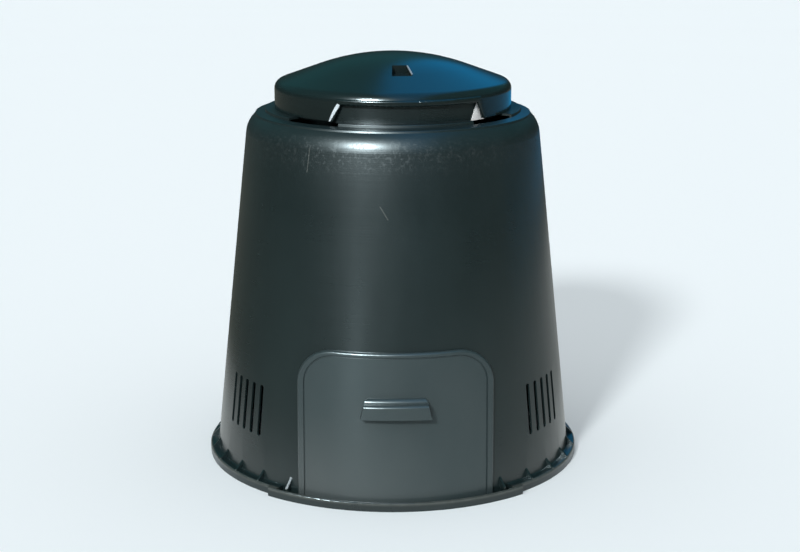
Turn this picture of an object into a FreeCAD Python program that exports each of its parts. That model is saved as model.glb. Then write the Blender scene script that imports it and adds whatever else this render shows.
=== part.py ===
import FreeCAD, Part
import math
import os

import Sketcher
from FreeCAD import Placement, Rotation, Vector

# Driving dimensions in millimetres and degrees. Every radius is from the upright centre line, and every turn is
# from the front.
DIMENSIONS = {
    # The tapered wall, its shoulder and its neck
    "skin": 4,
    "taper": 6.2,
    "shoulder_centre_radius": 253,
    "shoulder_centre_height": 690.5,
    "shoulder_round": 56,
    "shoulder_end_angle": 49.5,
    "shoulder_inner_end_angle": 54,
    "lower_step_height": 737.3,
    "lower_step_inset": 1.2,
    "upper_step_radius": 269,
    "upper_step_foot": 740.4,
    "upper_step_inset": 1.0,
    "plateau_height": 745.9,
    "neck_radius": 240,
    "neck_top": 795.6,
    "step_round": 1.4,
    "neck_round": 1.6,
    # The low slots at the neck's foot, in two pairs
    "low_slot_pair_turn": 5.5,
    "low_slot_turn": 43.7,
    "low_slot_angle": 27.4,
    "low_slot_floor": 738.6,
    "low_slot_reach": 1.2,
    # The rim round the foot and the trough in front of the hatch
    "rim_radius": 400,
    "rim_height": 18,
    "rim_round": 5,
    "foot_round": 3,
    "sill_radius": 410,
    "sill_floor": 5,
    "sill_half_angle": 39,
    "sill_ramp_angle": 2.5,
    "trough_inner_radius": 382.6,
    "trough_half_angle": 36.5,
    "sill_round": 2,
    # The webs that stiffen the rim
    "web_step": 11.25,
    "web_first_turn": 33.75,
    "web_count": 27,
    "web_rise": 19,
    "web_reach": 15,
    "web_toe": 1,
    "web_thickness": 4.5,
    # The air slots
    "slot_first_turn": 48.5,
    "slot_step": 4.25,
    "slot_count": 5,
    "slot_bottom": 101,
    "slot_top": 211,
    "slot_width": 11,
    "slot_end_round": 5.9,
    # The opening behind the hatch
    "opening_half_width": 163,
    "opening_bottom": 24,
    "opening_top": 288,
    "opening_corner": 20,
    # The lid
    "lid_radius": 248,
    "lid_skin": 3.5,
    "lid_bottom": 746.4,
    "lid_corner_height": 799.8,
    "lid_slope": 19.8,
    "lid_crown": 470,
    "lid_rim_round": 20,
    "lid_turn": 8,
    "notch_top": 779,
    "notch_top_half": 136.5,
    "notch_bottom_half": 151.5,
    "notch_side_lip": 7.5,
    "notch_top_lip": 12,
    "notch_lip_rise": 4.2,
    "notch_lip_round": 3.7,
    "grip_back_radius": 117,
    "grip_floor": 829,
    "grip_turn": -2.5,
    "grip_half_angle": 7.2,
    "grip_wall": 3,
    "grip_wall_angle": 1.5,
    "gate_turn": 46.8,
    "gate_height": 772,
    "gate_radius": 3.2,
    "gate_rise": 1,
    # The hatch and its pull
    "hatch_half_width": 196,
    "hatch_bottom": 5.4,
    "hatch_top": 310,
    "hatch_corner": 74,
    "hatch_radius": 370,
    "hatch_rise": 9.5,
    "hatch_gap": 1,
    "hatch_skin": 3.4,
    "hatch_edge": 3.2,
    "hatch_edge_round": 4.8,
    "bead_width": 12,
    "bead_top_width": 8,
    "groove_width": 3.2,
    "groove_depth": 2.6,
    "face_depth": 1.1,
    "pull_top": 222,
    "pull_bottom": 183,
    "pull_top_half": 61,
    "pull_bottom_half": 71,
    "pull_corner": 12,
    "pull_corner_share": 0.75,
    "pull_sweep": 30,
    "pull_collar_rise": 8,
    "pull_collar_depth": 10.6,
    "pull_rise": 24,
    "pull_brow_round": 5.5,
    "pull_skin": 3,
    "hook_turn": 26.4,
    "hook_bottom": 30,
    "hook_length": 48,
    "hook_skin": 3.4,
    "hook_grip": 12,
    "hook_depth": 15.5,
    # The white triangle on the neck
    "mark_turn": 42.9,
    "mark_top": 777,
    "mark_bottom": 742.3,
    "mark_left": 15,
    "mark_right": 24,
    "mark_gap": 0.03,
    "mark_thickness": 0.8,
}

# How near to a surface a point of an edge lies that is on it
ON_SURFACE = 0.01

doc = FreeCAD.newDocument("compost_bin")
sheet = doc.addObject("Spreadsheet::Sheet", "Dims")
for row, (alias, value) in enumerate(DIMENSIONS.items(), start=1):
    sheet.set(f"A{row}", str(value))
    sheet.setAlias(f"A{row}", alias)
doc.recompute()


def worked_out(expression):
    """The number that an expression on the sheet's cells gives."""
    return float(sheet.evalExpression(expression))


# Places that follow from the driving dimensions, as expressions on the sheet
SHOULDER_R = "(Dims.shoulder_centre_radius + Dims.shoulder_round * cos(Dims.taper))"
SHOULDER_Z = "(Dims.shoulder_centre_height + Dims.shoulder_round * sin(Dims.taper))"
INNER_ROUND = "(Dims.shoulder_round - Dims.skin)"
SKIN_ACROSS = "(Dims.skin / cos(Dims.taper))"
CROWN_EDGE_R = "(Dims.lid_crown * sin(Dims.lid_slope))"
CROWN_EDGE_Z = "(Dims.lid_corner_height + (Dims.lid_radius - %s) * tan(Dims.lid_slope))" % CROWN_EDGE_R
CROWN_TOP = "(%s + Dims.lid_crown * (1 - cos(Dims.lid_slope)))" % CROWN_EDGE_Z
INNER_CROWN = "(Dims.lid_crown - Dims.lid_skin)"


def wall_radius(height):
    """The outer radius of the tapered wall at a height, as an expression."""
    return "(%s + (%s - (%s)) * tan(Dims.taper))" % (SHOULDER_R, SHOULDER_Z, height)


def crown_height(radius, drop="0"):
    """The height of the lid's round crown at a radius, lowered by drop, as an expression."""
    return "(%s - Dims.lid_crown + sqrt(Dims.lid_crown^2 - (%s)^2) - (%s))" % (CROWN_TOP, radius, drop)


def arc_between(start, end, radius):
    """The arc from start to end. A positive radius turns to the left on the way, a negative one to the right."""
    chord = end - start
    middle = (start + end) * 0.5
    left = Vector(-chord.y, chord.x, 0).normalize()
    rise = math.sqrt(max(radius**2 - (chord.Length / 2) ** 2, 0))
    centre = middle + left * (rise if radius > 0 else -rise)
    first, last = (start, end) if radius > 0 else (end, start)
    angles = [math.atan2(p.y - centre.y, p.x - centre.x) for p in (first, last)]
    circle = Part.Circle(centre, Vector(0, 0, 1), abs(radius))
    return Part.ArcOfCircle(circle, *angles)


def draw(sketch, corners, arcs=None):
    """Draws a closed outline in the sketch. Corners are pairs of expressions, and arcs gives the radius
    expression of each side that is round, by the side's number; a minus sign in front turns it to the right."""
    arcs = arcs or {}
    places = [Vector(worked_out(x), worked_out(y), 0) for x, y in corners]
    sides = []
    for i, start in enumerate(places):
        end = places[(i + 1) % len(places)]
        if i in arcs:
            edge = arc_between(start, end, worked_out(arcs[i]))
            turns_left = worked_out(arcs[i]) > 0
        else:
            edge = Part.LineSegment(start, end)
            turns_left = True
        number = sketch.addGeometry(edge, False)
        sides.append((number, 1, 2) if turns_left else (number, 2, 1))
    for i, (number, start_point, _) in enumerate(sides):
        before, _, end_point = sides[i - 1]
        sketch.addConstraint(Sketcher.Constraint("Coincident", before, end_point, number, start_point))
        for kind, axis, expression in (("DistanceX", -2, corners[i][0]), ("DistanceY", -1, corners[i][1])):
            value = worked_out(expression)
            if expression == "0":
                sketch.addConstraint(Sketcher.Constraint("PointOnObject", number, start_point, axis))
                continue
            place = sketch.addConstraint(Sketcher.Constraint(kind, -1, 1, number, start_point, value))
            sketch.setExpression(f"Constraints[{place}]", expression)
    for i, expression in arcs.items():
        size = sketch.addConstraint(Sketcher.Constraint("Radius", sides[i][0], abs(worked_out(expression))))
        sketch.setExpression(f"Constraints[{size}]", expression.lstrip("-"))
    return sketch


def origin_plane(body, role):
    """One of the body's own origin planes."""
    return next(plane for plane in body.Origin.OriginFeatures if plane.Role == role)


def body_sketch(body, name, role, corners, arcs=None, offset=None):
    """A sketch on one of the body's origin planes, moved or turned by offset, with an outline drawn in it."""
    sketch = body.newObject("Sketcher::SketchObject", name)
    sketch.AttachmentSupport = [(origin_plane(body, role), "")]
    sketch.MapMode = "FlatFace"
    if offset:
        sketch.AttachmentOffset = offset
    return draw(sketch, corners, arcs)


def bound(feature, **sizes):
    """Binds the feature's sizes to expressions."""
    for name, expression in sizes.items():
        feature.setExpression(name, expression)
    return feature


def revolved(body, name, sketch, kind="Revolution", angle=None):
    """A full turn of the sketch about its upright axis, or a part of a turn to both sides of it."""
    feature = body.newObject("PartDesign::" + kind, name)
    feature.Profile = (sketch, [""])
    feature.ReferenceAxis = (sketch, ["V_Axis"])
    if angle:
        feature.Midplane = True
        bound(feature, Angle=angle)
    else:
        feature.Angle = 360
    doc.recompute()
    return feature


def padded(body, name, sketch, length, both_ways=False, kind="Pad", reverse=False):
    """A straight pad or pocket of the sketch."""
    feature = body.newObject("PartDesign::" + kind, name)
    feature.Profile = (sketch, [""])
    feature.Reversed = reverse
    if both_ways:
        feature.SideType = "Symmetric"
    bound(feature, Length=length)
    doc.recompute()
    return feature


def turned_copies(body, name, original, step, count):
    """Copies of a feature round the body's upright axis, one step apart."""
    pattern = body.newObject("PartDesign::PolarPattern", name)
    pattern.Originals = [original]
    pattern.Axis = (next(line for line in body.Origin.OriginFeatures if line.Role == "Z_Axis"), [""])
    pattern.Mode = "Extent"
    bound(pattern, Angle="%s * (%s - 1)" % (step, count), Occurrences=count)
    body.Tip = pattern
    doc.recompute()
    return pattern


def ring_edges(shape, radius, height, reach=0.05):
    """The names of the full circles round the upright axis with that radius and height."""
    return [
        f"Edge{i}"
        for i, edge in enumerate(shape.Edges, start=1)
        if not edge.Degenerated
        and isinstance(edge.Curve, Part.Circle)
        and abs(edge.Curve.Radius - radius) < reach
        and abs(edge.Curve.Center.z - height) < reach
    ]


def rounded(body, name, base, edges, radius):
    """Rounds the named edges of the feature before."""
    feature = body.newObject("PartDesign::Fillet", name)
    feature.Base = (base, edges)
    bound(feature, Radius=radius)
    doc.recompute()
    return feature


def about_z(angle):
    """A turn about a sketch's own upright direction, for a sketch on an upright origin plane."""
    return Placement(Vector(), Rotation(Vector(0, 1, 0), angle))


# Helpers for the pieces made of Part solids and booleans
def free_sketch(name, placement, corners, arcs=None):
    """A sketch outside any body, placed by hand."""
    sketch = doc.addObject("Sketcher::SketchObject", name)
    sketch.Placement = placement
    return draw(sketch, corners, arcs)


def extruded(name, sketch, length, both_ways=False):
    """A straight extrusion of the sketch along its own normal."""
    feature = doc.addObject("Part::Extrusion", name)
    feature.Base = sketch
    feature.DirMode = "Normal"
    feature.Solid = True
    feature.Symmetric = both_ways
    bound(feature, LengthFwd=length)
    return feature


def combined(kind, name, shapes):
    """A fusion or a common part of several solids."""
    feature = doc.addObject("Part::Multi" + kind, name)
    feature.Shapes = shapes
    return feature


def without(name, base, tool):
    """The base with the tool taken away."""
    feature = doc.addObject("Part::Cut", name)
    feature.Base = base
    feature.Tool = tool
    return feature


# A sketch's own right and up are the bin's right and up, and its normal points to the front
FRONT_VIEW = Placement(Vector(), Rotation(Vector(1, 0, 0), 90))


# The bin's body: wall, shoulder, neck, rim, trough, webs, slots and opening in one moulding
def make_bin_body():
    body = doc.addObject("PartDesign::Body", "bin_body")
    body.Label = "bin_body"
    corners = [
        ("Dims.rim_radius", "0"),
        ("Dims.rim_radius", "Dims.rim_height"),
        (wall_radius("Dims.rim_height"), "Dims.rim_height"),
        (SHOULDER_R, SHOULDER_Z),
        (
            "Dims.shoulder_centre_radius + Dims.shoulder_round * cos(Dims.shoulder_end_angle)",
            "Dims.shoulder_centre_height + Dims.shoulder_round * sin(Dims.shoulder_end_angle)",
        ),
        (
            "Dims.shoulder_centre_radius + Dims.shoulder_round * cos(Dims.shoulder_end_angle)"
            " - Dims.lower_step_inset",
            "Dims.lower_step_height",
        ),
        ("Dims.upper_step_radius", "Dims.upper_step_foot"),
        ("Dims.upper_step_radius - Dims.upper_step_inset", "Dims.plateau_height"),
        ("Dims.neck_radius", "Dims.plateau_height"),
        ("Dims.neck_radius", "Dims.neck_top"),
        ("Dims.neck_radius - Dims.skin", "Dims.neck_top"),
        ("Dims.neck_radius - Dims.skin", "Dims.plateau_height - Dims.skin"),
        ("Dims.upper_step_radius - Dims.upper_step_inset - Dims.skin", "Dims.plateau_height - Dims.skin"),
        ("Dims.upper_step_radius - Dims.skin", "Dims.upper_step_foot - Dims.skin"),
        (
            "Dims.shoulder_centre_radius + %s * cos(Dims.shoulder_inner_end_angle)" % INNER_ROUND,
            "Dims.shoulder_centre_height + %s * sin(Dims.shoulder_inner_end_angle)" % INNER_ROUND,
        ),
        (
            "Dims.shoulder_centre_radius + %s * cos(Dims.taper)" % INNER_ROUND,
            "Dims.shoulder_centre_height + %s * sin(Dims.taper)" % INNER_ROUND,
        ),
        (
            "%s - %s" % (wall_radius("Dims.rim_height - Dims.skin"), SKIN_ACROSS),
            "Dims.rim_height - Dims.skin",
        ),
        ("Dims.rim_radius - Dims.skin", "Dims.rim_height - Dims.skin"),
        ("Dims.rim_radius - Dims.skin", "0"),
    ]
    arcs = {3: "Dims.shoulder_round", 14: "-" + INNER_ROUND}
    profile = body_sketch(body, "body_profile", "XZ_Plane", corners, arcs)
    shell = revolved(body, "body_shell", profile)

    rim_edges = ring_edges(shell.Shape, worked_out("Dims.rim_radius"), worked_out("Dims.rim_height"))
    rim = rounded(body, "rim_edge", shell, rim_edges, "Dims.rim_round")
    foot_radius = worked_out(wall_radius("Dims.rim_height"))
    foot_edges = ring_edges(rim.Shape, foot_radius, worked_out("Dims.rim_height"))
    foot = rounded(body, "wall_foot", rim, foot_edges, "Dims.foot_round")
    step_edges = ring_edges(foot.Shape, *(worked_out(e) for e in corners[5]))
    step_edges += ring_edges(foot.Shape, *(worked_out(e) for e in corners[7]))
    steps = rounded(body, "shoulder_steps", foot, step_edges, "Dims.step_round")
    neck_edges = ring_edges(steps.Shape, *(worked_out(e) for e in corners[9]))
    neck_edges += ring_edges(steps.Shape, *(worked_out(e) for e in corners[10]))
    rounded(body, "neck_mouth", steps, neck_edges, "Dims.neck_round")

    make_sill(body)
    make_webs(body)
    make_slots(body)
    make_opening(body)
    make_low_slots(body)
    return body


def make_low_slots(body):
    """Long low slots under the lid's edge, cut through the upper step: a pair in front and one behind."""
    inside = "Dims.neck_radius"
    outside = "Dims.upper_step_radius + Dims.low_slot_reach"
    corners = [
        (inside, "Dims.low_slot_floor"),
        (outside, "Dims.low_slot_floor"),
        (outside, "Dims.plateau_height + Dims.skin"),
        (inside, "Dims.plateau_height + Dims.skin"),
    ]
    for side, turn in (
        ("left", "Dims.low_slot_pair_turn - Dims.low_slot_turn - 90"),
        ("right", "Dims.low_slot_pair_turn + Dims.low_slot_turn - 90"),
    ):
        turned = about_z(worked_out(turn))
        sketch = body_sketch(body, side + "_low_slot_profile", "XZ_Plane", corners, offset=turned)
        slot = revolved(body, side + "_low_slot", sketch, kind="Groove", angle="Dims.low_slot_angle")
        turned_copies(body, side + "_low_slots", slot, "180", "2")


def ring_sector(radius_in, radius_out, half_angle, ramp="0"):
    """Corners and arcs of a piece of a ring at the front. Its ends lean by ramp."""
    def place(radius, angle):
        return ("(%s) * sin(%s)" % (radius, angle), "-(%s) * cos(%s)" % (radius, angle))

    wide = "(%s + %s)" % (half_angle, ramp)
    corners = [
        place(radius_out, "-(%s)" % half_angle),
        place(radius_out, half_angle),
        place(radius_in, wide),
        place(radius_in, "-" + wide),
    ]
    return corners, {0: radius_out, 2: "-(%s)" % radius_in}


def make_sill(body):
    """The rim stands further out in front of the hatch and holds a trough that the hatch's foot drops into."""
    inner_radius = "(%s - Dims.skin)" % wall_radius("0")
    corners, arcs = ring_sector(inner_radius, "Dims.sill_radius", "Dims.sill_half_angle", "Dims.sill_ramp_angle")
    block_sketch = body_sketch(body, "sill_outline", "XY_Plane", corners, arcs)
    block = padded(body, "sill_block", block_sketch, "Dims.rim_height")
    edges = ring_edges(block.Shape, worked_out("Dims.sill_radius"), worked_out("Dims.rim_height"))
    rounded(body, "sill_edge", block, edges, "Dims.sill_round")
    corners, arcs = ring_sector(
        "Dims.trough_inner_radius", "Dims.sill_radius - Dims.skin", "Dims.trough_half_angle"
    )
    start = "Dims.rim_height + Dims.foot_round"
    above = Placement(Vector(0, 0, worked_out(start)), Rotation())
    trough_sketch = body_sketch(body, "trough_outline", "XY_Plane", corners, arcs, above)
    padded(body, "trough", trough_sketch, start + " - Dims.sill_floor", kind="Pocket")


def make_webs(body):
    """Small upright triangles between the wall and the rim, except in front of the hatch."""
    foot = wall_radius("Dims.rim_height")
    web_top = "Dims.rim_height + Dims.web_rise"
    corners = [
        ("%s - Dims.skin / 2" % foot, "Dims.rim_height - Dims.skin / 2"),
        ("%s + Dims.web_reach" % foot, "Dims.rim_height - Dims.skin / 2"),
        ("%s + Dims.web_reach" % foot, "Dims.rim_height + Dims.web_toe"),
        (wall_radius(web_top), web_top),
        ("%s - Dims.skin / 2" % wall_radius(web_top), web_top),
    ]
    turn = about_z(worked_out("Dims.web_first_turn - 90"))
    sketch = body_sketch(body, "web_outline", "XZ_Plane", corners, offset=turn)
    web = padded(body, "web", sketch, "Dims.web_thickness", both_ways=True)
    turned_copies(body, "webs", web, "Dims.web_step", "Dims.web_count")


def make_slots(body):
    """A row of upright air slots on each side of the hatch."""
    half = "Dims.slot_width / 2"
    corners = [
        ("-" + half, "Dims.slot_bottom + " + half),
        (half, "Dims.slot_bottom + " + half),
        (half, "Dims.slot_top - " + half),
        ("-" + half, "Dims.slot_top - " + half),
    ]
    arcs = {0: "Dims.slot_end_round", 2: "Dims.slot_end_round"}
    last_turn = "Dims.slot_first_turn + Dims.slot_step * (Dims.slot_count - 1)"
    for side, first in (("right", "Dims.slot_first_turn"), ("left", "-(%s)" % last_turn)):
        turn = about_z(worked_out(first))
        sketch = body_sketch(body, side + "_slot_outline", "XZ_Plane", corners, arcs, turn)
        slot = padded(body, side + "_slot", sketch, "Dims.rim_radius", kind="Pocket", reverse=True)
        turned_copies(body, side + "_slots", slot, "Dims.slot_step", "Dims.slot_count")


def rounded_door(half_width, bottom, top, corner):
    """Corners and arcs of an upright outline with a flat foot and two round top corners."""
    corners = [
        ("-(%s)" % half_width, bottom),
        (half_width, bottom),
        (half_width, "%s - %s" % (top, corner)),
        ("%s - %s" % (half_width, corner), top),
        ("-(%s) + %s" % (half_width, corner), top),
        ("-(%s)" % half_width, "%s - %s" % (top, corner)),
    ]
    return corners, {2: corner, 4: corner}


def make_opening(body):
    """The hole in the wall that the hatch covers."""
    corners, arcs = rounded_door(
        "Dims.opening_half_width", "Dims.opening_bottom", "Dims.opening_top", "Dims.opening_corner"
    )
    sketch = body_sketch(body, "opening_outline", "XZ_Plane", corners, arcs)
    padded(body, "opening", sketch, "Dims.sill_radius", kind="Pocket", reverse=True)


# The lid: skirt, dome, two notches with rounded lips and a grip recess
def make_lid():
    dome = make_dome()
    outer = "(Dims.lid_radius + Dims.notch_lip_rise)"
    band_inside = lid_cylinder("lip_inside", "Dims.lid_radius - Dims.lid_skin / 2")
    band = without("lip_band", lid_cylinder("lip_outside", outer), band_inside)
    lip_prism = notch_prism("lip", "Dims.lid_bottom", "Dims.notch_side_lip", "Dims.notch_top_lip")
    lips = combined("Common", "lips", [band, lip_prism])
    whole = combined("Fuse", "dome_with_lips", [dome, lips])
    notches = notch_prism("notch", "Dims.lid_bottom - Dims.notch_side_lip")
    notched = without("notched_lid", whole, notches)
    doc.recompute()
    lid = doc.addObject("Part::Fillet", "lid")
    lid.Label = "lid"
    lid.Base = notched
    size = worked_out("Dims.notch_lip_round")
    lid.Edges = [(number, size, size) for number in lip_edges(notched.Shape, worked_out(outer))]
    doc.recompute()
    lid.Placement = Placement(Vector(), Rotation(Vector(0, 0, 1), worked_out("Dims.lid_turn")))
    return lid


def make_dome():
    """The lid's skirt and dome with the grip recess and the moulding point, before the notches are cut."""
    body = doc.addObject("PartDesign::Body", "dome")
    slope_drop = "(Dims.lid_skin / cos(Dims.lid_slope))"
    inner_wall = "(Dims.lid_radius - Dims.lid_skin)"
    corners = [
        ("Dims.lid_radius", "Dims.lid_bottom"),
        ("Dims.lid_radius", "Dims.lid_corner_height"),
        (CROWN_EDGE_R, CROWN_EDGE_Z),
        ("0", CROWN_TOP),
        ("0", "%s - Dims.lid_skin" % CROWN_TOP),
        (
            "%s * sin(Dims.lid_slope)" % INNER_CROWN,
            "%s - Dims.lid_skin * cos(Dims.lid_slope)" % CROWN_EDGE_Z,
        ),
        (inner_wall, "Dims.lid_corner_height + Dims.lid_skin * tan(Dims.lid_slope) - %s" % slope_drop),
        (inner_wall, "Dims.lid_bottom"),
    ]
    arcs = {2: "Dims.lid_crown", 4: "-" + INNER_CROWN}
    profile = body_sketch(body, "lid_profile", "XZ_Plane", corners, arcs)
    shell = revolved(body, "lid_shell", profile)
    outer = ring_edges(shell.Shape, *(worked_out(e) for e in corners[1]))
    rim = rounded(body, "lid_rim", shell, outer, "Dims.lid_rim_round")
    inner = ring_edges(rim.Shape, *(worked_out(e) for e in corners[6]))
    rounded(body, "lid_inner_rim", rim, inner, "Dims.lid_rim_round - Dims.lid_skin")
    make_grip(body)
    make_gate(body)
    return body


def lid_cylinder(name, radius):
    """A cylinder as tall as a notch's lip, from the skirt's foot up."""
    cylinder = doc.addObject("Part::Cylinder", name)
    cylinder.Placement = Placement(Vector(0, 0, worked_out("Dims.lid_bottom")), Rotation())
    return bound(cylinder, Radius=radius, Height="Dims.notch_top + Dims.notch_top_lip - Dims.lid_bottom")


def notch_prism(name, bottom, side_margin="0", top_margin="0"):
    """A prism right through the lid with a notch's outline, grown at its sides and at its top."""
    corners = [
        ("-(Dims.notch_bottom_half + %s)" % side_margin, bottom),
        ("Dims.notch_bottom_half + %s" % side_margin, bottom),
        ("Dims.notch_top_half + %s" % side_margin, "Dims.notch_top + %s" % top_margin),
        ("-(Dims.notch_top_half + %s)" % side_margin, "Dims.notch_top + %s" % top_margin),
    ]
    sketch = free_sketch(name + "_outline", FRONT_VIEW, corners)
    return extruded(name + "_prism", sketch, "3 * Dims.lid_radius", both_ways=True)


def lip_edges(shape, radius):
    """The numbers of the edges on the lips' outer faces, apart from those along the skirt's foot."""
    found = []
    for number, edge in enumerate(shape.Edges, start=1):
        if edge.Degenerated:
            continue
        points = [edge.valueAt(edge.getParameterByLength(edge.Length * share)) for share in (0, 0.3, 0.7, 1)]
        on_face = all(abs(math.hypot(p.x, p.y) - radius) < ON_SURFACE for p in points)
        at_foot = all(abs(p.z - worked_out("Dims.lid_bottom")) < ON_SURFACE for p in points)
        if on_face and not at_foot:
            found.append(number)
    return found


def make_grip(body):
    """A recess with a level floor in the dome's front slope, in a tray of its own under the dome."""
    back = "Dims.grip_back_radius"
    floor = "Dims.grip_floor"
    front = "(Dims.lid_radius - (%s - Dims.lid_corner_height) / tan(Dims.lid_slope))" % floor
    middle = "((%s + %s) / 2)" % (back, front)
    half_skin = "Dims.lid_skin / 2"
    turn = about_z(worked_out("Dims.grip_turn"))
    tray_back = "(%s - Dims.grip_wall)" % back
    tray = [
        ("-" + tray_back, "%s - Dims.grip_wall" % floor),
        ("-(%s)" % front, "%s - Dims.grip_wall" % floor),
        ("-(%s)" % front, crown_height(front, half_skin)),
        ("-" + middle, crown_height(middle, half_skin)),
        ("-" + tray_back, crown_height(tray_back, half_skin)),
    ]
    sketch = body_sketch(body, "grip_tray_profile", "YZ_Plane", tray, offset=turn)
    revolved(body, "grip_tray", sketch, angle="2 * (Dims.grip_half_angle + Dims.grip_wall_angle)")
    hollow = [
        ("-" + back, floor),
        ("-(%s) - Dims.grip_wall" % front, floor),
        ("-(%s) - Dims.grip_wall" % front, CROWN_TOP),
        ("-" + back, CROWN_TOP),
    ]
    sketch = body_sketch(body, "grip_profile", "YZ_Plane", hollow, offset=turn)
    revolved(body, "grip", sketch, kind="Groove", angle="2 * Dims.grip_half_angle")


def make_gate(body):
    """The small round moulding point on the skirt."""
    turn = about_z(worked_out("-Dims.gate_turn"))
    outward = Placement(Vector(0, 0, worked_out("Dims.lid_radius - Dims.lid_skin / 2")), Rotation())
    sketch = body.newObject("Sketcher::SketchObject", "gate_outline")
    sketch.AttachmentSupport = [(origin_plane(body, "XZ_Plane"), "")]
    sketch.MapMode = "FlatFace"
    sketch.AttachmentOffset = turn * outward
    height = worked_out("Dims.gate_height")
    circle = Part.Circle(Vector(0, height, 0), Vector(0, 0, 1), worked_out("Dims.gate_radius"))
    number = sketch.addGeometry(circle, False)
    sketch.addConstraint(Sketcher.Constraint("PointOnObject", number, 3, -2))
    place = sketch.addConstraint(Sketcher.Constraint("DistanceY", -1, 1, number, 3, height))
    sketch.setExpression(f"Constraints[{place}]", "Dims.gate_height")
    size = sketch.addConstraint(Sketcher.Constraint("Radius", number, worked_out("Dims.gate_radius")))
    sketch.setExpression(f"Constraints[{size}]", "Dims.gate_radius")
    padded(body, "gate", sketch, "Dims.lid_skin / 2 + Dims.gate_rise")


# The hatch: a tray-shaped door on a cylinder that leans with the wall, so that it slides up along it
def make_hatch():
    lean = hatch_lean()
    reach = "Dims.sill_radius"
    outer = leaning_cylinder("hatch_front", lean, "Dims.hatch_radius")
    block_outline = front_outline("hatch_outline", "Dims.hatch_bottom")
    block = combined("Common", "hatch_block", [outer, extruded("hatch_prism", block_outline, reach)])
    doc.recompute()
    softened = doc.addObject("Part::Fillet", "hatch_softened")
    softened.Base = block
    size = worked_out("Dims.hatch_edge_round")
    softened.Edges = [(number, size, size) for number in front_edges(block.Shape, lean)]

    bead = ("Dims.bead_width", "Dims.bead_top_width")
    face_outline = front_outline("face_outline", "Dims.hatch_bottom - Dims.bead_width", *bead)
    face_prism = extruded("face_prism", face_outline, reach)
    face_core = leaning_cylinder("face_core", lean, "Dims.hatch_radius - Dims.face_depth")
    face_cut = without("face_cut", face_prism, face_core)

    groove_outline = front_outline("groove_outline", "Dims.hatch_bottom - Dims.bead_width", *bead)
    inset = ["(%s + Dims.groove_width)" % width for width in bead]
    island_outline = front_outline("island_outline", "Dims.hatch_bottom - 2 * Dims.bead_width", *inset)
    groove_prism = extruded("groove_prism", groove_outline, reach)
    ring = without("groove_ring", groove_prism, extruded("groove_island", island_outline, reach))
    ring_core = leaning_cylinder("groove_core", lean, "Dims.hatch_radius - Dims.groove_depth")
    groove_cut = without("groove_cut", ring, ring_core)

    hollow_bottom = "Dims.hatch_bottom + Dims.hatch_edge"
    hollow_outline = front_outline("hollow_outline", hollow_bottom, "Dims.hatch_edge", "Dims.hatch_edge")
    hollow_core = leaning_cylinder(
        "hollow_core", lean, "Dims.hatch_radius - Dims.groove_depth - Dims.hatch_skin"
    )
    hollow = combined("Common", "hatch_hollow", [hollow_core, extruded("hollow_prism", hollow_outline, reach)])

    wall = doc.addObject("Part::Cone", "wall_space")
    bound(
        wall,
        Radius1="%s + Dims.hatch_gap / cos(Dims.taper)" % wall_radius("0"),
        Radius2="%s + Dims.hatch_gap / cos(Dims.taper)" % wall_radius("Dims.sill_radius"),
        Height="Dims.sill_radius",
    )
    spare = combined("Fuse", "hatch_spare", [face_cut, groove_cut, hollow, wall])
    tray = without("hatch_tray", softened, spare)

    pull_shell = combined("Common", "pull_shell", pull_solids("pull", lean, "0"))
    pull_space = combined("Common", "pull_space", pull_solids("pull_inner", lean, "Dims.pull_skin"))
    hooks = [hook(side, lean, direction) for side, direction in (("left_hook", -1), ("right_hook", 1))]
    with_pull = combined("Fuse", "hatch_with_pull", [tray, pull_shell] + hooks)
    hatch = without("hatch", with_pull, pull_space)
    hatch.Label = "hatch"
    doc.recompute()
    return hatch


def hatch_lean():
    """The place of the hatch's own centre line: parallel to the wall's front line, and as far behind it as
    lets the hatch stand out by its rise."""
    behind = worked_out("(Dims.hatch_radius - Dims.hatch_rise) / cos(Dims.taper) - %s" % wall_radius("0"))
    return Placement(Vector(0, behind, 0), Rotation(Vector(1, 0, 0), -worked_out("Dims.taper")))


def leaning_cylinder(name, lean, radius):
    """A cylinder about the hatch's own centre line, longer than the hatch at both ends."""
    cylinder = doc.addObject("Part::Cylinder", name)
    cylinder.Placement = lean * Placement(Vector(0, 0, -worked_out("Dims.hatch_corner")), Rotation())
    bound(cylinder, Radius=radius, Height="Dims.hatch_top + 2 * Dims.hatch_corner")
    return cylinder


def front_outline(name, bottom, side_inset="0", top_inset="0"):
    """The hatch's outline as seen from the front, drawn in at its sides and at its top."""
    corners, arcs = rounded_door(
        "(Dims.hatch_half_width - %s)" % side_inset,
        bottom,
        "(Dims.hatch_top - %s)" % top_inset,
        "(Dims.hatch_corner - %s)" % side_inset,
    )
    return free_sketch(name, FRONT_VIEW, corners, arcs)


def front_edges(shape, lean):
    """The numbers of the edges where the hatch's round front meets its sides and its top."""
    axis = lean.inverse()
    radius = worked_out("Dims.hatch_radius")
    bottom = worked_out("Dims.hatch_bottom")
    found = []
    for number, edge in enumerate(shape.Edges, start=1):
        places = [edge.getParameterByLength(edge.Length * share) for share in (0, 0.5, 1)]
        points = [axis.multVec(edge.valueAt(place)) for place in places]
        on_front = all(abs(math.hypot(p.x, p.y) - radius) < ON_SURFACE for p in points)
        at_foot = edge.BoundBox.ZMax < bottom + ON_SURFACE
        if on_front and not at_foot:
            found.append(number)
    return found


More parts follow.
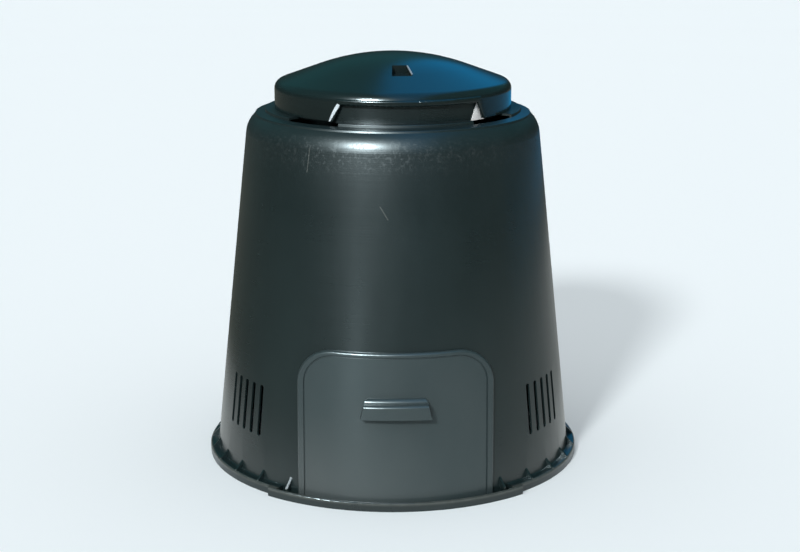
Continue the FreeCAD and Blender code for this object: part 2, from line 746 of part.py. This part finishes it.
def pull_solids(name, lean, skin):
    """The hood-shaped pull's outer form or, with a skin, the finger space in it: a round collar over a brow with
    a round edge, both turned about the hatch's own centre line, and a prism that is wider at the foot."""
    rise = "Dims.hatch_radius * sin(Dims.taper)"
    face = "(Dims.hatch_radius - Dims.face_depth)"

    def up(height):
        """A height above the ground as a length along the leaning centre line."""
        return "((%s) - %s) / cos(Dims.taper)" % (height, rise)

    collar = "(Dims.hatch_radius + Dims.pull_collar_rise - %s)" % skin
    brow = "(Dims.hatch_radius + Dims.pull_rise - %s)" % skin
    below = "%s - (%s > 0 ? Dims.pull_skin : 0)" % ("Dims.pull_bottom", skin)
    collar_round = "(%s - %s)" % (collar, face)
    brow_round = "(Dims.pull_brow_round - %s)" % skin
    top = "Dims.pull_top - %s" % skin
    crease = "%s - Dims.pull_collar_depth" % top
    corners = [
        ("-" + face, up(below)),
        ("-" + face, up(top)),
        ("-" + collar, up("%s - %s" % (top, collar_round))),
        ("-" + collar, up(crease)),
        ("%s - %s" % (brow_round, brow), up(crease)),
        ("-" + brow, up("%s - %s" % (crease, brow_round))),
        ("-" + brow, up(below)),
    ]
    upright = lean * Placement(Vector(), Rotation(Vector(1, 1, 1), 120))
    sketch = free_sketch(name + "_profile", upright, corners, {1: collar_round, 4: brow_round})
    turned = doc.addObject("Part::Revolution", name + "_turned")
    turned.Source = sketch
    turned.Base = lean.Base
    turned.Axis = lean.Rotation.multVec(Vector(0, 0, 1))
    bound(turned, Angle="Dims.pull_sweep")
    turned.Symmetric = True
    turned.Solid = True
    corner = "(Dims.pull_corner - %s)" % skin
    reach = "Dims.pull_corner_share * %s" % corner
    side_lean = "(Dims.pull_bottom_half - Dims.pull_top_half) / (Dims.pull_top - Dims.pull_bottom)"
    foot_half = "(Dims.pull_bottom_half - %s)" % skin
    top_half = "(Dims.pull_top_half - %s)" % skin
    corner_half = "(%s + %s * %s)" % (top_half, reach, side_lean)
    outline = [
        ("-" + foot_half, below),
        (foot_half, below),
        (corner_half, "%s - %s" % (top, reach)),
        ("%s - %s" % (top_half, reach), top),
        ("%s - %s" % (reach, top_half), top),
        ("-" + corner_half, "%s - %s" % (top, reach)),
    ]
    prism_sketch = free_sketch(name + "_outline", FRONT_VIEW, outline, {2: corner, 4: corner})
    return [turned, extruded(name + "_prism", prism_sketch, "Dims.sill_radius + Dims.pull_rise")]


def hook(name, lean, direction):
    """A guide hook that passes through the opening and reaches outward behind the wall."""
    front = "-(Dims.hatch_radius - Dims.groove_depth - Dims.hatch_skin / 2)"
    back = "-(Dims.hatch_radius - Dims.hook_depth - Dims.groove_depth)"
    corners = [
        ("0", front),
        ("%d * Dims.hook_skin" % -direction, front),
        ("%d * Dims.hook_skin" % -direction, back),
        ("%d * Dims.hook_grip" % direction, back),
        ("%d * Dims.hook_grip" % direction, "%s - Dims.hook_skin" % back),
        ("0", "%s - Dims.hook_skin" % back),
    ]
    turn = Rotation(Vector(0, 0, 1), direction * worked_out("Dims.hook_turn"))
    foot = worked_out("(Dims.hook_bottom - Dims.hatch_radius * sin(Dims.taper)) / cos(Dims.taper)")
    sketch = free_sketch(name + "_section", lean * Placement(Vector(0, 0, foot), turn), corners)
    return extruded(name, sketch, "Dims.hook_length")


# The plain white triangle that shows where the lid belongs
def make_closing_mark():
    inner = doc.addObject("Part::Cylinder", "mark_inside")
    outer = doc.addObject("Part::Cylinder", "mark_outside")
    bound(inner, Radius="Dims.neck_radius + Dims.mark_gap", Height="Dims.neck_top")
    bound(outer, Radius="Dims.neck_radius + Dims.mark_gap + Dims.mark_thickness", Height="Dims.neck_top")
    ring = without("mark_ring", outer, inner)
    corners = [
        ("-Dims.mark_left", "Dims.mark_bottom"),
        ("Dims.mark_right", "Dims.mark_bottom"),
        ("0", "Dims.mark_top"),
    ]
    turn = Placement(Vector(), Rotation(Vector(0, 0, 1), worked_out("Dims.mark_turn")))
    sketch = free_sketch("mark_outline", turn * FRONT_VIEW, corners)
    prism = extruded("mark_prism", sketch, "Dims.rim_radius")
    mark = combined("Common", "closing_mark", [ring, prism])
    mark.Label = "closing_mark"
    doc.recompute()
    return mark


def check(pieces):
    """Stops with a plain message if any object failed, or if a piece isn't one sound solid."""
    for thing in doc.Objects:
        bad = [state for state in thing.State if state in ("Invalid", "Error")]
        if bad:
            raise RuntimeError(f"{thing.Name} is {', '.join(bad)}")
    for piece in pieces:
        if piece.Shape.isNull() or not piece.Shape.isValid():
            raise RuntimeError(f"{piece.Label} has no sound shape")
        if len(piece.Shape.Solids) != 1:
            raise RuntimeError(f"{piece.Label} has {len(piece.Shape.Solids)} solids")


pieces = [make_bin_body(), make_lid(), make_hatch(), make_closing_mark()]
doc.recompute()
check(pieces)
os.makedirs("parts", exist_ok=True)
for piece in pieces:
    piece.Shape.exportStep(os.path.join("parts", piece.Label + ".step"))
    box = piece.Shape.BoundBox
    print(piece.Label, "volume %.0f mm3" % piece.Shape.Volume, box)
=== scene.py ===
import math

import bpy
import numpy as np
from mathutils import Euler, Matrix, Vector


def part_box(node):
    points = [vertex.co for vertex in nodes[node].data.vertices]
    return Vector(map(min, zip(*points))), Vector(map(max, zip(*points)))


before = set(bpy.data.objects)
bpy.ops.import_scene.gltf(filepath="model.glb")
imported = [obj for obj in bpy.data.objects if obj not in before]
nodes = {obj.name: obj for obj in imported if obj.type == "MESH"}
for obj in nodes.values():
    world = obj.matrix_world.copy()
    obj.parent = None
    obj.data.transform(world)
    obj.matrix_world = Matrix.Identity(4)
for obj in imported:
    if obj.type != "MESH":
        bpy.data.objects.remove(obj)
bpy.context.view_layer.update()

# Places on the bin in metres, and turns from the front in degrees
SKIRT_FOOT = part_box("lid")[0].z
TAPER = 6.2
WALL_END = 0.6965
NECK_FOOT = 0.7459
WALL_END_RADIUS = 0.3087
LIP_RADIUS = 0.2505
LID_TURN = 8
NOTCH_TOP = 0.779
NOTCH_FOOT_TURN = 37.8
NOTCH_TOP_TURN = 33.5
LIP_HALF_TURN = 1
GRIP_TURN = 12.7
WEB_TURN = -33.75


# Shader sums: a socket that takes part in Python arithmetic, and the material it belongs to
class Shade:
    """A number, vector or colour that a node gives out."""

    def __init__(self, finish, socket):
        self.finish = finish
        self.socket = socket

    def sum(self, operation, other, clamp=False):
        settings = {"operation": operation, "use_clamp": clamp}
        return self.finish.node("ShaderNodeMath", settings, (self, other))

    def __add__(self, other):
        return self.sum("ADD", other)

    def __sub__(self, other):
        return self.sum("SUBTRACT", other)

    def __mul__(self, other):
        return self.sum("MULTIPLY", other)

    def __truediv__(self, other):
        return self.sum("DIVIDE", other)

    def __pow__(self, other):
        return self.sum("POWER", other)

    def __rsub__(self, other):
        return self.finish.node("ShaderNodeMath", {"operation": "SUBTRACT"}, (other, self))

    __radd__ = __add__
    __rmul__ = __mul__

    def most(self, other):
        return self.sum("MAXIMUM", other)

    def from_to(self, low, high, to_low=0, to_high=1):
        """Eased from to_low at low to to_high at high, and level beyond both."""
        settings = {"interpolation_type": "SMOOTHSTEP"}
        return self.finish.node("ShaderNodeMapRange", settings, (self, low, high, to_low, to_high))


class Finish:
    """A material whose shader is fed by sums of Shades."""

    def __init__(self, name):
        self.material = bpy.data.materials.new(name)
        self.material.use_nodes = True
        self.tree = self.material.node_tree
        self.shader = self.tree.nodes["Principled BSDF"]
        self.place = self.node("ShaderNodeTexCoord", {}, (), "Object")
        axes = self.node("ShaderNodeSeparateXYZ", {}, (self.place,), None)
        self.across, self.along, self.up = (Shade(self, axes.outputs[i]) for i in range(3))

    def node(self, kind, settings, inputs, output=0):
        """One output of a new node, which is set up first and then fed with values and sockets."""
        node = self.tree.nodes.new(kind)
        for name, value in settings.items():
            setattr(node, name, value)
        pairs = inputs.items() if isinstance(inputs, dict) else enumerate(inputs)
        for key, value in pairs:
            if isinstance(value, Shade):
                self.tree.links.new(value.socket, node.inputs[key])
            else:
                node.inputs[key].default_value = value
        if output is None:
            return node
        return Shade(self, node.outputs[output])

    def noise(self, level, upright, detail, roughness=0.55):
        """Cloudy noise about 0.5, with so many waves in a metre on the level and upright."""
        stretch = (level, level, upright)
        place = self.node("ShaderNodeMapping", {}, {"Vector": self.place, "Scale": stretch})
        inputs = {"Vector": place, "Scale": 1.0, "Detail": detail, "Roughness": roughness}
        return self.node("ShaderNodeTexNoise", {}, inputs, "Fac")

    def from_middle(self):
        """How far a point is from the upright centre line."""
        return (self.across * self.across + self.along * self.along) ** 0.5

    def mix(self, share, first, second):
        """A colour between two colours."""
        settings = {"data_type": "RGBA"}
        inputs = {0: share, 6: self.colour(first), 7: self.colour(second)}
        return self.node("ShaderNodeMix", settings, inputs, 2)

    def colour(self, value):
        return value if isinstance(value, Shade) else (*value, 1.0)

    def near_line(self, start, end, width):
        """1 on the straight line from start to end, eased to 0 at width from it."""
        run = Vector(end) - Vector(start)
        away = self.node("ShaderNodeVectorMath", {"operation": "SUBTRACT"}, (self.place, tuple(start)))
        share = self.node("ShaderNodeVectorMath", {"operation": "DOT_PRODUCT"}, (away, tuple(run)), "Value")
        share = (share / run.length_squared).sum("ADD", 0, clamp=True)
        foot = self.node("ShaderNodeVectorMath", {"operation": "SCALE"}, {0: tuple(run), "Scale": share})
        gap = self.node("ShaderNodeVectorMath", {"operation": "DISTANCE"}, (away, foot), "Value")
        return gap.from_to(0, width, 1, 0)

    def bumped(self, height, strength, distance):
        """A normal tipped by a height in units of distance."""
        inputs = {"Height": height, "Strength": strength, "Distance": distance}
        return self.node("ShaderNodeBump", {}, inputs, "Normal")

    def set(self, **values):
        """Feeds or sets the shader's sockets, by their names with underscores for spaces."""
        for name, value in values.items():
            socket = self.shader.inputs[name.replace("_", " ")]
            if isinstance(value, Shade):
                self.tree.links.new(value.socket, socket)
            else:
                socket.default_value = value
        return self.material


def at_turn(radius, azimuth, height):
    """The point at a radius, a turn from the front and a height."""
    turn = math.radians(azimuth)
    return Vector((radius * math.sin(turn), -radius * math.cos(turn), height))


def on_wall(azimuth, height):
    """The point of the tapered wall at a turn from the front and a height."""
    radius = WALL_END_RADIUS + (WALL_END - height) * math.tan(math.radians(TAPER))
    return at_turn(radius, azimuth, height)


# Two scratches on the wall
LONG_SCRATCH_TOP = on_wall(-32.5, 0.722)
LONG_SCRATCH_FOOT = on_wall(-33.5, 0.653)
LONG_SCRATCH_WIDTH = 0.0014
SHORT_SCRATCH_TOP = on_wall(-5.5, 0.595)
SHORT_SCRATCH_FOOT = on_wall(-2.7, 0.570)
SHORT_SCRATCH_WIDTH = 0.0016

# Pale marks: a pale stripe on the left lip of the lid's front notch, and painted highlights on the grip's
# right edge and on the web left of the hatch
LIP_STRIPE_FOOT = at_turn(LIP_RADIUS, LID_TURN - NOTCH_FOOT_TURN - LIP_HALF_TURN, SKIRT_FOOT + 0.003)
LIP_STRIPE_TOP = at_turn(LIP_RADIUS, LID_TURN - NOTCH_TOP_TURN - LIP_HALF_TURN, NOTCH_TOP)
LIP_STRIPE_WIDTH = 0.007
LIP_STRIPE_EDGE = (0.35, 0.6)
GRIP_HIGHLIGHT_BACK = at_turn(0.120, GRIP_TURN, 0.844)
GRIP_HIGHLIGHT_FRONT = at_turn(0.158, GRIP_TURN, 0.832)
GRIP_HIGHLIGHT_WIDTH = 0.004
GRIP_HIGHLIGHT_EDGE = (0.2, 0.7)
WEB_HIGHLIGHT_FOOT = at_turn(0.396, WEB_TURN, 0.021)
WEB_HIGHLIGHT_TOP = at_turn(0.382, WEB_TURN, 0.036)
WEB_HIGHLIGHT_WIDTH = 0.006
WEB_HIGHLIGHT_EDGE = (0.2, 0.6)

# Where the finish changes, from none to full: heights and the rim's radius, and across and up the hatch
SHOULDER_FROM = (0.56, 0.72)
SHOULDER_UNTIL = (NECK_FOOT + 0.001, NECK_FOOT)
SHOULDER_DUST_FROM = (0.64, 0.69)
SHOULDER_DUST_UNTIL = (0.735, 0.70)
RIM_HIGHLIGHT_RADIUS = (0.3955, 0.3985)
RIM_HIGHLIGHT_HEIGHT = (0.010, 0.016)
HATCH_LEFT = (0.14, -0.16)
HATCH_LOW = (0.26, 0.03)

# Values of the noise between which tones, patches and specks go from none to full
WALL_TONES = (0.3, 0.75)
WALL_PATCHES = (0.42, 0.7)
WALL_SPECKS = (0.56, 0.78)
SHOULDER_SPECKS = (0.5, 0.66)
LID_PATCHES = (0.4, 0.7)
LID_SPECKS = (0.6, 0.8)
HATCH_TONES = (0.3, 0.7)
HATCH_PATCHES = (0.4, 0.7)
HATCH_SPECKS = (0.58, 0.8)
MARK_SOIL = (0.5, 0.85)

# How far dust, scratches, the painted highlight along the rim's top edge and the painted highlights on the
# grip and the web take over the colour
WALL_DUST_SHARE = 0.06
LID_DUST_SHARE = 0.12
HATCH_DUST_SHARE = 0.14
SCRATCH_SHARE = 0.5
RIM_HIGHLIGHT_SHARE = 0.5
GRIP_HIGHLIGHT_SHARE = 0.5
WEB_HIGHLIGHT_SHARE = 0.5

# How much each noise counts in the painted highlight along the rim's top edge, in the hatch's tone and in
# the height of the bumps
RIM_HIGHLIGHT_BY_STREAK = 0.7
RIM_HIGHLIGHT_BY_CLOUD = 0.6
PALE_BY_CLOUD = 0.25
PALE_BY_PLACE = 0.75
WALL_DRAG_RISE = 0.55
WALL_GRAIN_RISE = 0.25
WALL_STREAK_RISE = 0.8
HATCH_DRAG_RISE = 0.6

# Colours as linear red, green and blue
WALL_DARK = (0.0068, 0.0145, 0.0150)
WALL_PALE = (0.0115, 0.0220, 0.0225)
# A pale grey for dust and scratches, also used for the painted highlight along the rim's top edge
DUST_AND_HIGHLIGHT = (0.16, 0.17, 0.155)
# A pale bluish white for the pale stripe on the notch's left lip and for the painted highlights on the grip
# and the web
PALE_STRIPE_AND_HIGHLIGHT = (0.62, 0.70, 0.74)
LID_DARK = (0.0070, 0.0140, 0.0140)
HATCH_DARK = (0.0300, 0.0470, 0.0500)
HATCH_PALE = (0.0600, 0.0740, 0.0750)
MARK_CLEAN = (0.95, 0.96, 0.95)
MARK_SOILED = (0.72, 0.73, 0.70)
PALE_GROUND = (0.871, 0.939, 0.965)

# How glossy the plain plastic is, and what noise, dust, the lip's pale stripe and the grip's painted
# highlight add to its roughness
WALL_ROUGHNESS = 0.22
LID_ROUGHNESS = 0.19
HATCH_ROUGHNESS = 0.26
MARK_ROUGHNESS = 0.45
SHOULDER_ROUGHER = 0.07
CLOUD_ROUGHER = 0.06
DRAG_ROUGHER = 0.04
STREAK_ROUGHER = 0.03
DUST_ROUGHER = 0.15
LID_CLOUD_ROUGHER = 0.05
LID_DUST_ROUGHER = 0.2
LID_STRIPE_AND_HIGHLIGHT_ROUGHER = 0.2
SOIL_ROUGHER = 0.1
SHEEN = 0.55
HATCH_SHEEN = 0.5

# How strongly the surface is bumped, and the height of the bumps in metres
WALL_BUMP = 0.30
WALL_BUMP_HEIGHT = 0.0006
LID_BUMP = 0.12
LID_BUMP_HEIGHT = 0.0004
HATCH_BUMP = 0.25
HATCH_BUMP_HEIGHT = 0.0005


def wall_finish():
    """Satin moulded plastic with fine level drag lines, faint upright streaks, dust and scratches, and a
    painted highlight along the rim's top edge and on the web left of the hatch.
    """
    finish = Finish("body_plastic")
    cloud = finish.noise(level=3, upright=1.6, detail=5)
    drag = finish.noise(level=2.5, upright=330, detail=3, roughness=0.6)
    grain = finish.noise(level=420, upright=420, detail=2)
    streak = finish.noise(level=46, upright=1.3, detail=3)
    speckle = finish.noise(level=140, upright=140, detail=6, roughness=0.75)
    dust = speckle.from_to(*WALL_SPECKS) * cloud.from_to(*WALL_PATCHES)
    dusty = finish.up.from_to(*SHOULDER_DUST_FROM) * finish.up.from_to(*SHOULDER_DUST_UNTIL)
    dust = dust.most(speckle.from_to(*SHOULDER_SPECKS) * dusty)
    scratch = finish.near_line(LONG_SCRATCH_TOP, LONG_SCRATCH_FOOT, LONG_SCRATCH_WIDTH)
    scratch = scratch.most(finish.near_line(SHORT_SCRATCH_TOP, SHORT_SCRATCH_FOOT, SHORT_SCRATCH_WIDTH))
    colour = finish.mix(cloud.from_to(*WALL_TONES), WALL_DARK, WALL_PALE)
    colour = finish.mix(dust * WALL_DUST_SHARE, colour, DUST_AND_HIGHLIGHT)
    colour = finish.mix(scratch * SCRATCH_SHARE, colour, DUST_AND_HIGHLIGHT)
    # Painted highlight along the rim's top edge, broken up by streaky and cloudy noise
    edge = finish.from_middle().from_to(*RIM_HIGHLIGHT_RADIUS) * finish.up.from_to(*RIM_HIGHLIGHT_HEIGHT)
    rim_highlight = edge * (streak * RIM_HIGHLIGHT_BY_STREAK + cloud * RIM_HIGHLIGHT_BY_CLOUD)
    colour = finish.mix(rim_highlight * RIM_HIGHLIGHT_SHARE, colour, DUST_AND_HIGHLIGHT)
    # Painted highlight on the web left of the hatch
    web_highlight = finish.near_line(WEB_HIGHLIGHT_FOOT, WEB_HIGHLIGHT_TOP, WEB_HIGHLIGHT_WIDTH).from_to(*WEB_HIGHLIGHT_EDGE)
    colour = finish.mix(web_highlight * WEB_HIGHLIGHT_SHARE, colour, PALE_STRIPE_AND_HIGHLIGHT)
    shoulder = finish.up.from_to(*SHOULDER_FROM) * finish.up.from_to(*SHOULDER_UNTIL)
    roughness = WALL_ROUGHNESS + shoulder * SHOULDER_ROUGHER + cloud * CLOUD_ROUGHER
    roughness = roughness + drag * DRAG_ROUGHER + dust * DUST_ROUGHER + streak * STREAK_ROUGHER
    height = drag * WALL_DRAG_RISE + grain * WALL_GRAIN_RISE + streak * WALL_STREAK_RISE
    return finish.set(
        Base_Color=colour,
        Roughness=roughness,
        Specular_IOR_Level=SHEEN,
        Normal=finish.bumped(height, WALL_BUMP, WALL_BUMP_HEIGHT),
    )


def lid_finish():
    """Smoother satin plastic with a little dust, a pale stripe on the front notch's left lip and a painted
    highlight on the grip's right edge.
    """
    finish = Finish("lid_plastic")
    cloud = finish.noise(level=5, upright=5, detail=4)
    grain = finish.noise(level=380, upright=380, detail=2)
    speckle = finish.noise(level=90, upright=90, detail=6, roughness=0.7)
    dust = speckle.from_to(*LID_SPECKS) * cloud.from_to(*LID_PATCHES)
    # A pale stripe along the left lip of the front notch
    lip_stripe = finish.near_line(LIP_STRIPE_FOOT, LIP_STRIPE_TOP, LIP_STRIPE_WIDTH).from_to(*LIP_STRIPE_EDGE)
    # Painted highlight on the grip's right edge
    grip_highlight = finish.near_line(GRIP_HIGHLIGHT_BACK, GRIP_HIGHLIGHT_FRONT, GRIP_HIGHLIGHT_WIDTH).from_to(*GRIP_HIGHLIGHT_EDGE)
    stripe_and_highlight = lip_stripe.most(grip_highlight * GRIP_HIGHLIGHT_SHARE)
    colour = finish.mix(dust * LID_DUST_SHARE, LID_DARK, DUST_AND_HIGHLIGHT)
    colour = finish.mix(stripe_and_highlight, colour, PALE_STRIPE_AND_HIGHLIGHT)
    roughness = LID_ROUGHNESS + cloud * LID_CLOUD_ROUGHER + dust * LID_DUST_ROUGHER
    return finish.set(
        Base_Color=colour,
        Roughness=roughness + stripe_and_highlight * LID_STRIPE_AND_HIGHLIGHT_ROUGHER,
        Specular_IOR_Level=SHEEN,
        Normal=finish.bumped(grain, LID_BUMP, LID_BUMP_HEIGHT),
    )


def hatch_finish():
    """Paler and more matte plastic, palest low at the left."""
    finish = Finish("hatch_plastic")
    cloud = finish.noise(level=6, upright=4, detail=5)
    grain = finish.noise(level=400, upright=400, detail=2)
    drag = finish.noise(level=4, upright=160, detail=3, roughness=0.6)
    speckle = finish.noise(level=95, upright=95, detail=6, roughness=0.7)
    dust = speckle.from_to(*HATCH_SPECKS) * cloud.from_to(*HATCH_PATCHES)
    low_left = finish.across.from_to(*HATCH_LEFT) * finish.up.from_to(*HATCH_LOW)
    pale = cloud.from_to(*HATCH_TONES) * PALE_BY_CLOUD + low_left * PALE_BY_PLACE
    colour = finish.mix(pale, HATCH_DARK, HATCH_PALE)
    colour = finish.mix(dust * HATCH_DUST_SHARE, colour, DUST_AND_HIGHLIGHT)
    return finish.set(
        Base_Color=colour,
        Roughness=HATCH_ROUGHNESS + cloud * CLOUD_ROUGHER + dust * DUST_ROUGHER + drag * DRAG_ROUGHER,
        Specular_IOR_Level=HATCH_SHEEN,
        Normal=finish.bumped(grain + drag * HATCH_DRAG_RISE, HATCH_BUMP, HATCH_BUMP_HEIGHT),
    )


def mark_finish():
    """Plain white film, a little soiled."""
    finish = Finish("mark_white")
    soil = finish.noise(level=60, upright=60, detail=5)
    colour = finish.mix(soil.from_to(*MARK_SOIL), MARK_CLEAN, MARK_SOILED)
    return finish.set(Base_Color=colour, Roughness=MARK_ROUGHNESS + soil * SOIL_ROUGHER)


def dress(node, material):
    """Gives a CAD node its material."""
    nodes[node].data.materials.clear()
    nodes[node].data.materials.append(material)


dress("bin_body", wall_finish())
dress("lid", lid_finish())
dress("hatch", hatch_finish())
dress("closing_mark", mark_finish())


# What the stage is made with
def placed(name, data):
    """A new object in the scene."""
    thing = bpy.data.objects.new(name, data)
    bpy.context.scene.collection.objects.link(thing)
    return thing


def grid_piece(name, points, material):
    """An object from a grid of points, rows by columns by three."""
    rows, columns = points.shape[:2]
    number = np.arange(rows * columns).reshape(rows, columns)
    corners = [number[:-1, :-1], number[:-1, 1:], number[1:, 1:], number[1:, :-1]]
    faces = np.stack(corners, axis=-1).reshape(-1, 4)
    mesh = bpy.data.meshes.new(name)
    mesh.from_pydata(points.reshape(-1, 3).tolist(), [], faces.tolist())
    mesh.materials.append(material)
    return placed(name, mesh)


def glowing(name):
    """A finish that gives out light."""
    finish = Finish(name)
    finish.tree.nodes.remove(finish.shader)
    finish.shader = finish.tree.nodes.new("ShaderNodeEmission")
    surface = finish.tree.nodes["Material Output"].inputs["Surface"]
    finish.tree.links.new(finish.shader.outputs[0], surface)
    return finish


def only_reflected(thing):
    """Leaves a lamp or a piece of the stage to glossy reflections."""
    thing.visible_camera = False
    thing.visible_diffuse = False
    thing.visible_transmission = False
    return thing


# Floor: a pale level square that fills the picture
FLOOR_HALF = 30.0


def make_floor():
    """A square about the bin: both ways from minus to plus half its side, at height 0."""
    across, along = np.meshgrid((-FLOOR_HALF, FLOOR_HALF), (-FLOOR_HALF, FLOOR_HALF))
    points = np.stack([across, along, np.zeros_like(across)], axis=-1)
    finish = Finish("floor_pale")
    finish.set(Base_Color=(*PALE_GROUND, 1.0), Roughness=0.9, Specular_IOR_Level=0.0)
    grid_piece("floor", points, finish.material)


# The screen, a dome that only glossy reflections see: colours change at shares of its radius
TURN_POINTS = 73
HEIGHT_POINTS = 19
SCREEN_RADIUS = 12
SCREEN_RISE = (0.15, 0.45)
BORDER_SLANT = 0.4
BORDER_PLACE = (0.265, 0.300)
BLUE_END = (0.45, 0.28)
SCREEN_DARK = (0.026, 0.045, 0.043)
SCREEN_TEAL = (0.03, 0.145, 0.160)
SCREEN_BLUE = (0.02, 0.48, 1.05)

# The mat, a ground that only glossy reflections see: colours change at these metres
MAT_INNER_RADIUS = 0.415
MAT_LIFT = 0.002
MAT_NEAR = (1.3, 0.42)
MAT_RIGHT_AWAY = (3.3, 2.3)
MAT_RIGHT_ACROSS = (0.1, 0.6)
MAT_RIGHT_SHARE = 0.5
MAT_BLUE_FROM = (4.8, 5.1)
MAT_BLUE_UNTIL = (6.5, 6.2)
MAT_BLUE_ACROSS = (0, 0.2)
MAT_BLUE_ALONG = (-0.2, 0)
MAT_COLOUR = (0.13, 0.14, 0.12)
MAT_PALE = (0.82, 0.88, 0.88)
MAT_BLUE = (0.02, 0.45, 0.92)


def make_screen():
    """A dark dome, blue at the right behind: radius times the cosine and sine of height and turn."""
    turns = np.linspace(0, 2 * np.pi, TURN_POINTS)
    heights = np.linspace(0, np.pi / 2, HEIGHT_POINTS)
    turn, height = np.meshgrid(turns, heights)
    across = SCREEN_RADIUS * np.cos(height) * np.sin(turn)
    along = SCREEN_RADIUS * np.cos(height) * np.cos(turn)
    points = np.stack([across, along, SCREEN_RADIUS * np.sin(height)], axis=-1)
    finish = glowing("reflection_screen")
    across = finish.across / SCREEN_RADIUS
    up = finish.up / SCREEN_RADIUS
    blue = (across + up * BORDER_SLANT).from_to(*BORDER_PLACE) * across.from_to(*BLUE_END)
    colour = finish.mix(blue, SCREEN_TEAL, SCREEN_BLUE)
    finish.set(Color=finish.mix(up.from_to(*SCREEN_RISE), SCREEN_DARK, colour))
    screen = only_reflected(grid_piece("reflection_screen", points, finish.material))
    screen.visible_shadow = False


def make_mat():
    """Ground, pale near the foot and blue far behind: radius times the sine and cosine of the turn."""
    turn, radius = np.meshgrid(np.linspace(0, 2 * np.pi, TURN_POINTS), (MAT_INNER_RADIUS, SCREEN_RADIUS))
    points = np.stack([radius * np.sin(turn), radius * np.cos(turn), np.full_like(turn, MAT_LIFT)], axis=-1)
    finish = glowing("reflection_mat")
    away = finish.from_middle()
    near = away.from_to(*MAT_NEAR)
    right = away.from_to(*MAT_RIGHT_AWAY) * finish.across.from_to(*MAT_RIGHT_ACROSS) * MAT_RIGHT_SHARE
    behind = away.from_to(*MAT_BLUE_FROM) * away.from_to(*MAT_BLUE_UNTIL)
    behind = behind * finish.across.from_to(*MAT_BLUE_ACROSS) * finish.along.from_to(*MAT_BLUE_ALONG)
    colour = finish.mix(near.most(right), MAT_COLOUR, MAT_PALE)
    finish.set(Color=finish.mix(behind, colour, MAT_BLUE))
    mat = only_reflected(grid_piece("reflection_mat", points, finish.material))
    mat.visible_shadow = False


# Light: a soft sun from the front left, its glint and a low panel on glossy surfaces, and an even pale sky
KEY_TURN = -25
KEY_ELEVATION = 30
KEY_SPREAD = 8
KEY_STRENGTH = 1.9
GLINT_STRENGTH = 9.5
WHITE = (1, 1, 1)
GLINT_COLOUR = (0.74, 0.94, 1.0)
STRIP_AWAY = 2.2
STRIP_TURN = -24
STRIP_SIDE = 0.35
STRIP_POWER = 0.9
SKY_COLOUR = (0.96, 0.98, 1.0)
SKY_STRENGTH = 0.7


def make_sun(name, strength, colour):
    """A soft sun from the front left."""
    lamp = bpy.data.lights.new(name, "SUN")
    lamp.energy = strength
    lamp.angle = math.radians(KEY_SPREAD)
    lamp.color = colour
    sun = placed(name, lamp)
    sun.rotation_euler = Euler((math.radians(90 - KEY_ELEVATION), 0, math.radians(KEY_TURN)))
    return sun


def make_strip():
    """A small bright panel low at the front left, for the upright streak on the wall."""
    lamp = bpy.data.lights.new("strip_light", "AREA")
    lamp.size = STRIP_SIDE
    lamp.energy = STRIP_POWER
    lamp.color = GLINT_COLOUR
    strip = only_reflected(placed("strip_light", lamp))
    strip.location = at_turn(STRIP_AWAY, STRIP_TURN, STRIP_SIDE / 2)
    strip.rotation_euler = Euler((math.radians(90), 0, math.radians(STRIP_TURN)))


def make_sky():
    """Even light from all round, seen as a pale background."""
    world = bpy.data.worlds.new("pale_sky")
    bpy.context.scene.world = world
    world.use_nodes = True
    tree = world.node_tree
    seen = tree.nodes.new("ShaderNodeBackground")
    seen.inputs["Color"].default_value = (*PALE_GROUND, 1.0)
    light = tree.nodes["Background"]
    light.inputs["Color"].default_value = (*SKY_COLOUR, 1.0)
    light.inputs["Strength"].default_value = SKY_STRENGTH
    path = tree.nodes.new("ShaderNodeLightPath")
    either = path.outputs["Is Camera Ray"]
    for name in ("Is Glossy Ray", "Is Transmission Ray"):
        most = tree.nodes.new("ShaderNodeMath")
        most.operation = "MAXIMUM"
        tree.links.new(either, most.inputs[0])
        tree.links.new(path.outputs[name], most.inputs[1])
        either = most.outputs[0]
    mix = tree.nodes.new("ShaderNodeMixShader")
    tree.links.new(either, mix.inputs[0])
    tree.links.new(light.outputs[0], mix.inputs[1])
    tree.links.new(seen.outputs[0], mix.inputs[2])
    tree.links.new(mix.outputs[0], tree.nodes["World Output"].inputs["Surface"])


make_floor()
make_sun("key_light", KEY_STRENGTH, WHITE)
only_reflected(make_sun("key_glint", GLINT_STRENGTH, GLINT_COLOUR))
make_screen()
make_mat()
make_strip()
make_sky()


# The camera, where the photograph was taken from, for a picture 800 pixels wide
PICTURE_WIDTH = 800
FOCAL_PIXELS = 1624.0
AIM_PIXEL = 392.87
SENSOR_WIDTH = 36
CAMERA_TURN = -1.0
CAMERA_AWAY = 3.4
CAMERA_HEIGHT = 1.2316
CAMERA_PITCH = 14.11


def make_camera():
    data = bpy.data.cameras.new("camera")
    data.sensor_width = SENSOR_WIDTH
    data.lens = FOCAL_PIXELS * SENSOR_WIDTH / PICTURE_WIDTH
    data.shift_x = (PICTURE_WIDTH / 2 - AIM_PIXEL) / PICTURE_WIDTH
    camera = placed("camera", data)
    camera.location = at_turn(CAMERA_AWAY, CAMERA_TURN, CAMERA_HEIGHT)
    camera.rotation_euler = Euler((math.radians(90 - CAMERA_PITCH), 0, math.radians(CAMERA_TURN)))
    bpy.context.scene.camera = camera


make_camera()
bpy.context.scene.view_settings.view_transform = "Standard"
